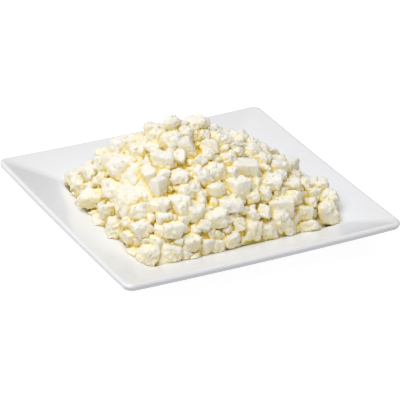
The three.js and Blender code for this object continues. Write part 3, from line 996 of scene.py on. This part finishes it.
# Painted shade on faces of the glaze that look down.
GLAZE_PAINTED_UNDERSIDE_SHADE = (0.44, 0.44, 0.45)
# Painted light: the lighter, cooler glaze where the feta hides the sky from it.
GLAZE_PAINTED_LIGHT = (0.895, 0.92, 1.0)
# How far away, in mm, things may be and still hide the sky from the glaze, which is painted lighter and
# cooler there to undo the feta's shade and warm bounce.
GLAZE_PAINTED_LIGHT_REACH = 60


def porcelain_material():
    nodes = Nodes("white_glaze")
    cloud = nodes.noise(size_mm=60, detail=2)
    colour = nodes.blend(cloud, GLAZE_WHITE, GLAZE_SHADE)
    # Painted light on the glaze near the feta, which undoes its shade and warm bounce.
    painted_light_near_food = nodes.ramp(nodes.openness(GLAZE_PAINTED_LIGHT_REACH), low=0.5, high=1, to_low=1, to_high=0)
    colour = nodes.blend(painted_light_near_food, colour, GLAZE_PAINTED_LIGHT)
    # Painted shade: the glaze darkens on faces that look down, as under the lip.
    painted_underside_shade = nodes.ramp(nodes.upwardness(), low=-0.4, high=0.45, to_low=1, to_high=0)
    nodes.join(nodes.blend(painted_underside_shade, colour, GLAZE_PAINTED_UNDERSIDE_SHADE), nodes.shader.inputs["Base Color"])
    ripple = nodes.noise(size_mm=14, detail=1)
    nodes.join(nodes.bump(ripple, distance_mm=0.12, strength=0.5), nodes.shader.inputs["Normal"])
    roughness = nodes.ramp(cloud, low=0.3, high=0.7, to_low=0.16, to_high=0.24)
    nodes.join(roughness, nodes.shader.inputs["Roughness"])
    nodes.shader.inputs["Coat Weight"].default_value = 0.15
    nodes.shader.inputs["Coat Roughness"].default_value = 0.06
    nodes.shader.inputs["Specular IOR Level"].default_value = 0.35
    nodes.shader.inputs["IOR"].default_value = 1.52
    return nodes.material


FLOOR_PLAIN = (0.30, 0.30, 0.30)
FLOOR_COOL = (0.29, 0.29, 0.295)


def floor_material():
    nodes = Nodes("pale_floor")
    cloud = nodes.noise(size_mm=400, detail=1)
    nodes.join(nodes.blend(cloud, FLOOR_PLAIN, FLOOR_COOL), nodes.shader.inputs["Base Color"])
    nodes.shader.inputs["Roughness"].default_value = 0.9
    nodes.shader.inputs["Specular IOR Level"].default_value = 0.1
    nodes.shader.inputs["Emission Color"].default_value = (1, 1, 1, 1)
    nodes.shader.inputs["Emission Strength"].default_value = FLOOR_GLOW
    return nodes.material


# ---- Studio ----
def camera_axes():
    """Right, up and back of the camera, and where it stands, in mm."""
    elevation = math.radians(CAMERA_ELEVATION)
    azimuth = math.radians(CAMERA_AZIMUTH)
    roll = math.radians(CAMERA_ROLL)
    back = Vector((
        math.sin(azimuth) * math.cos(elevation),
        -math.cos(azimuth) * math.cos(elevation),
        math.sin(elevation),
    ))
    level = Vector((math.cos(azimuth), math.sin(azimuth), 0))
    upright = back.cross(level)
    right = math.cos(roll) * level + math.sin(roll) * upright
    up = math.cos(roll) * upright - math.sin(roll) * level
    return right, up, back, Vector(CAMERA_TARGET) + back * CAMERA_DISTANCE


def make_camera():
    right, up, back, place = camera_axes()
    lens = bpy.data.cameras.new("camera")
    lens.sensor_width = SENSOR_WIDTH
    lens.lens = SENSOR_WIDTH * FOCAL_PIXELS / PHOTO_WIDTH
    lens.clip_end = CLIP_END
    camera = bpy.data.objects.new("camera", lens)
    turn = Matrix((right, up, back)).transposed().to_4x4()
    camera.matrix_world = Matrix.Translation(place * MM) @ turn
    bpy.context.scene.collection.objects.link(camera)
    bpy.context.scene.camera = camera


def make_floor():
    solid = bmesh.new()
    bmesh.ops.create_grid(solid, x_segments=8, y_segments=8, size=FLOOR_REACH)
    mesh = bpy.data.meshes.new("floor")
    solid.to_mesh(mesh)
    solid.free()
    floor = bpy.data.objects.new("floor", mesh)
    floor.data.materials.append(floor_material())
    bpy.context.scene.collection.objects.link(floor)


def level_directions():
    """To the right and away, as the camera sees them, along the floor."""
    azimuth = math.radians(CAMERA_AZIMUTH)
    right = Vector((math.cos(azimuth), math.sin(azimuth), 0))
    behind = Vector((-math.sin(azimuth), math.cos(azimuth), 0))
    return right, behind


def make_key_light():
    """A square soft light, turned towards the dish."""
    right, behind = level_directions()
    across, away, height = KEY_PLACE
    light = bpy.data.lights.new("key", "AREA")
    light.size = KEY_SIZE
    light.energy = KEY_POWER
    lamp = bpy.data.objects.new("key", light)
    lamp.location = right * across + behind * away + Vector((0, 0, height))
    towards = Vector(KEY_AIM) - lamp.location
    lamp.rotation_euler = towards.to_track_quat("-Z", "Y").to_euler()
    bpy.context.scene.collection.objects.link(lamp)


def make_room():
    """The faint light of a dark room under a pale ceiling."""
    world = bpy.data.worlds.new("studio")
    world.use_nodes = True
    tree = world.node_tree
    right, behind = level_directions()
    place = tree.nodes.new("ShaderNodeTexCoord").outputs["Generated"]
    facing = tree.nodes.new("ShaderNodeVectorMath")
    facing.operation = "DOT_PRODUCT"
    side = right * SKY_SIDE[0] + behind * SKY_SIDE[1] + Vector((0, 0, SKY_SIDE[2]))
    facing.inputs[1].default_value = side.normalized()
    tree.links.new(place, facing.inputs[0])
    level = tree.nodes.new("ShaderNodeMapRange")
    level.interpolation_type = "SMOOTHSTEP"
    tree.links.new(facing.outputs["Value"], level.inputs["Value"])
    limits = {"From Min": 0, "From Max": 1, "To Min": ROOM_GLOW, "To Max": ROOM_GLOW + SKY_GLOW}
    for socket, number in limits.items():
        level.inputs[socket].default_value = number
    background = tree.nodes["Background"]
    background.inputs["Color"].default_value = (1, 1, 1, 1)
    tree.links.new(level.outputs["Result"], background.inputs["Strength"])
    bpy.context.scene.world = world


def make_studio():
    make_floor()
    make_room()
    make_key_light()
    bpy.context.scene.view_settings.view_transform = "Standard"


# ---- The scene ----
def heap_crumbs():
    """Every crumb by kind, each kept clear of those before it."""
    crumbs = [placed_chunk(index, row) for index, row in enumerate(CHUNKS)]
    kinds = {"chunks": list(crumbs)}
    first = FIRST_SCATTERED
    for kind, size in {"coarse": COARSE, "medium": MEDIUM}.items():
        known = len(crumbs)
        add_where_free(crumbs, scattered_crumbs(first, size), CRUMB_SPACING)
        kinds[kind] = crumbs[known:]
        first += size[0]
    for kind, size in {"packed": PACKED, "bits": BITS}.items():
        known = len(crumbs)
        add_where_free(crumbs, buried_crumbs(first, size), size[-1])
        kinds[kind] = crumbs[known:]
        first += size[0]
    kinds["grains"] = list(clinging_grains(first, crumbs))
    return kinds


def clinging_grains(first, crumbs):
    """Grains on the upper sides of crumbs, wherever no other crumb covers them."""
    depths = [depth_below_form(crumb.centre[None])[0] for crumb in crumbs]
    hosts = [crumb for crumb, depth in zip(crumbs, depths) if depth < HOST_DEPTH * crumb.radius]
    centres = np.array([crumb.centre for crumb in crumbs])
    radii = np.array([crumb.radius for crumb in crumbs])
    count, smallest, largest = GRAINS
    for index in range(first, first + count):
        host = hosts[int(draw(index, HOST_SLOT) * len(hosts))]
        height = mix(*GRAIN_HEIGHTS, draw(index, 1))
        direction = heap_direction(2 * math.pi * draw(index, 0), height)
        surface = crumb_surface(host, (direction @ host.turn)[None])[0][0]
        covered = ((centres - surface) ** 2).sum(axis=1) < (COVERED_WITHIN * radii) ** 2
        covered[[crumb is host for crumb in crumbs]] = False
        if not covered.any():
            yield crumb_of(index, surface, mix(smallest, largest, draw(index, 2) ** 2))


make_camera()
make_studio()
dish = make_dish()
dish.data.materials.append(porcelain_material())
feta = feta_material()
make_core(feta)
kinds = heap_crumbs()
neighbours = kinds["chunks"] + kinds["coarse"] + kinds["medium"] + kinds["packed"]
make_crumbs("feta_chunks", kinds["chunks"], neighbours, feta)
make_crumbs("feta_crumbs_coarse", kinds["coarse"], neighbours, feta)
make_crumbs("feta_crumbs_medium", kinds["medium"], neighbours, feta)
make_crumbs("feta_crumbs_packed", kinds["packed"], neighbours, feta, SMALL_EDGE)
make_crumbs("feta_bits", kinds["bits"], neighbours, feta, SMALL_EDGE)
make_crumbs("feta_grains", kinds["grains"], neighbours, feta, SMALL_EDGE)
